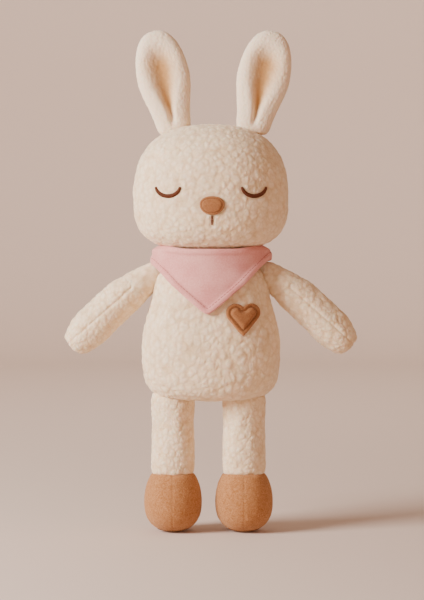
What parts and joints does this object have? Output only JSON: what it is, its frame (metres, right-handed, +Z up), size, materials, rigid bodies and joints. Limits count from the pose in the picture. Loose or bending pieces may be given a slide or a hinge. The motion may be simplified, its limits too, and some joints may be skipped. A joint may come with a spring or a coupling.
{
  "type": "stuffed bunny rabbit",
  "caption": "Standing stuffed bunny rabbit of curly plush with felted feet, sleeping face, pink bandana and a heart patch; head, ears, arms and legs move on soft seams.",
  "frame": {"origin": "on the floor midway between the feet, under the middle of the body", "axes": "+Z up, the face looks along -Y, +X is the toy's own left"},
  "size_m": [0.2336, 0.1072, 0.3997],
  "materials": {
    "plush": "curly boucle pile, matt",
    "short_plush": "short smooth pile, matt",
    "felt": "felted wool, matt",
    "bandana_cloth": "plain woven cotton, matt",
    "bandana_thread": "cotton thread",
    "brown_thread": "satin stitched thread, slight sheen",
    "tan_thread": "cotton thread",
    "label_tape": "blank satin tape",
    "stuffing": "polyester fibre filling"
  },
  "bodies": {
    "torso": {"torso_front_panel": "plush", "torso_back_panel": "plush", "torso_filling": "stuffing", "tail": "plush", "care_label": "label_tape", "heart_patch": "felt", "heart_stitching": "tan_thread", "bandana": "bandana_cloth", "bandana_hem_stitching": "bandana_thread", "bandana_tack_stitches": "bandana_thread"},
    "neck": {"neck_filling": "stuffing"},
    "head": {"head_front_panel": "plush", "head_back_panel": "plush", "head_filling": "stuffing", "nose_patch": "felt", "nose_stitching": "tan_thread", "mouth_stitch": "brown_thread", "eye_left": "brown_thread", "eye_right": "brown_thread"},
    "ear_left": {"ear_front_panel_left": "short_plush", "ear_back_panel_left": "short_plush", "ear_filling_left": "stuffing"},
    "shoulder_left": {"shoulder_gather_left": "plush"},
    "arm_left": {"arm_upper_panel_left": "plush", "arm_lower_panel_left": "plush", "arm_filling_left": "stuffing"},
    "leg_left": {"leg_front_panel_left": "plush", "leg_back_panel_left": "plush", "leg_filling_left": "stuffing", "foot_outer_panel_left": "felt", "foot_inner_panel_left": "felt", "foot_sole_left": "felt", "foot_filling_left": "stuffing"},
    "ear_right": {"ear_front_panel_right": "short_plush", "ear_back_panel_right": "short_plush", "ear_filling_right": "stuffing"},
    "shoulder_right": {"shoulder_gather_right": "plush"},
    "arm_right": {"arm_upper_panel_right": "plush", "arm_lower_panel_right": "plush", "arm_filling_right": "stuffing"},
    "leg_right": {"leg_front_panel_right": "plush", "leg_back_panel_right": "plush", "leg_filling_right": "stuffing", "foot_outer_panel_right": "felt", "foot_inner_panel_right": "felt", "foot_sole_right": "felt", "foot_filling_right": "stuffing"}
  },
  "joints": [
    {"name": "head_nod", "type": "hinge", "parent": "torso", "child": "neck", "pos_m": [0, 0, 0.2225], "axis": [1, 0, 0], "range_deg": [-20, 10], "stiffness_Nm_per_rad": 0.5},
    {"name": "head_turn", "type": "hinge", "parent": "neck", "child": "head", "pos_m": [0, 0, 0.2225], "axis": [0, 0, 1], "range_deg": [-30, 30], "stiffness_Nm_per_rad": 0.3},
    {"name": "ear_fold_left", "type": "hinge", "parent": "head", "child": "ear_left", "pos_m": [0.03475, 0, 0.32992], "axis": [0.9781, 0, -0.2079], "range_deg": [-75, 75], "stiffness_Nm_per_rad": 0.06},
    {"name": "arm_raise_left", "type": "hinge", "parent": "torso", "child": "shoulder_left", "pos_m": [0.059, 0, 0.1955], "axis": [0, -1, 0], "range_deg": [-12, 100], "stiffness_Nm_per_rad": 0.15},
    {"name": "arm_swing_left", "type": "hinge", "parent": "shoulder_left", "child": "arm_left", "pos_m": [0.059, 0, 0.1955], "axis": [-0.6626, 0, -0.749], "range_deg": [-40, 55], "stiffness_Nm_per_rad": 0.1},
    {"name": "leg_swing_left", "type": "hinge", "parent": "torso", "child": "leg_left", "pos_m": [0.0265, 0, 0.0867], "axis": [-1, 0, 0], "range_deg": [-30, 90], "stiffness_Nm_per_rad": 0.5},
    {"name": "ear_fold_right", "type": "hinge", "parent": "head", "child": "ear_right", "pos_m": [-0.03075, 0, 0.32992], "axis": [0.9781, 0, 0.2079], "range_deg": [-75, 75], "stiffness_Nm_per_rad": 0.06},
    {"name": "arm_raise_right", "type": "hinge", "parent": "torso", "child": "shoulder_right", "pos_m": [-0.059, 0, 0.1955], "axis": [0, 1, 0], "range_deg": [-12, 100], "stiffness_Nm_per_rad": 0.15},
    {"name": "arm_swing_right", "type": "hinge", "parent": "shoulder_right", "child": "arm_right", "pos_m": [-0.059, 0, 0.1955], "axis": [-0.6626, 0, 0.749], "range_deg": [-40, 55], "stiffness_Nm_per_rad": 0.1},
    {"name": "leg_swing_right", "type": "hinge", "parent": "torso", "child": "leg_right", "pos_m": [-0.0305, 0, 0.0867], "axis": [-1, 0, 0], "range_deg": [-30, 90], "stiffness_Nm_per_rad": 0.5}
  ]
}
